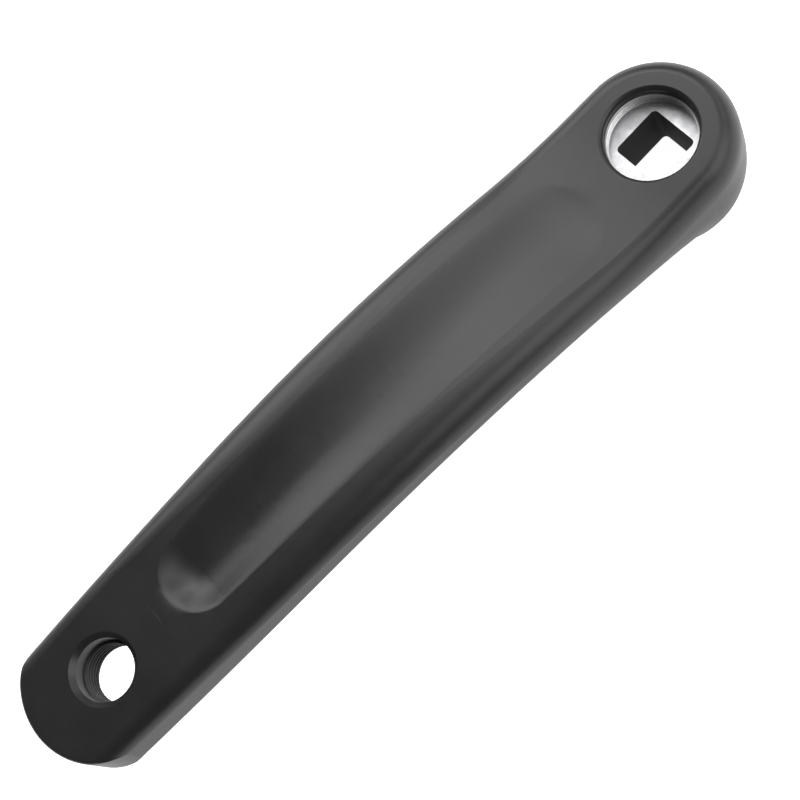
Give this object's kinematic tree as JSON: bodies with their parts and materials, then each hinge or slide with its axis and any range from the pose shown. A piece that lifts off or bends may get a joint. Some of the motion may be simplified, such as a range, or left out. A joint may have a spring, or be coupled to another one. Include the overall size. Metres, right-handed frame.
{
  "type": "bicycle crank arm",
  "caption": "Black left crank arm for a bicycle: a forged bar, dished on its outer face, with a square-taper spindle boss at one end and a threaded pedal eye at the other.",
  "frame": {"origin": "on the spindle axis, in the boss's inner face", "axes": "+X along the arm to the pedal axis, +Z along the spindle axis away from the bicycle, to the dished outer face"},
  "size_m": [0.2107, 0.0404, 0.0405],
  "materials": {
    "coated_aluminium": "satin black coat, bare in the bolt recess"
  },
  "bodies": {
    "root": {"crank_arm": "coated_aluminium"}
  },
  "joints": []
}
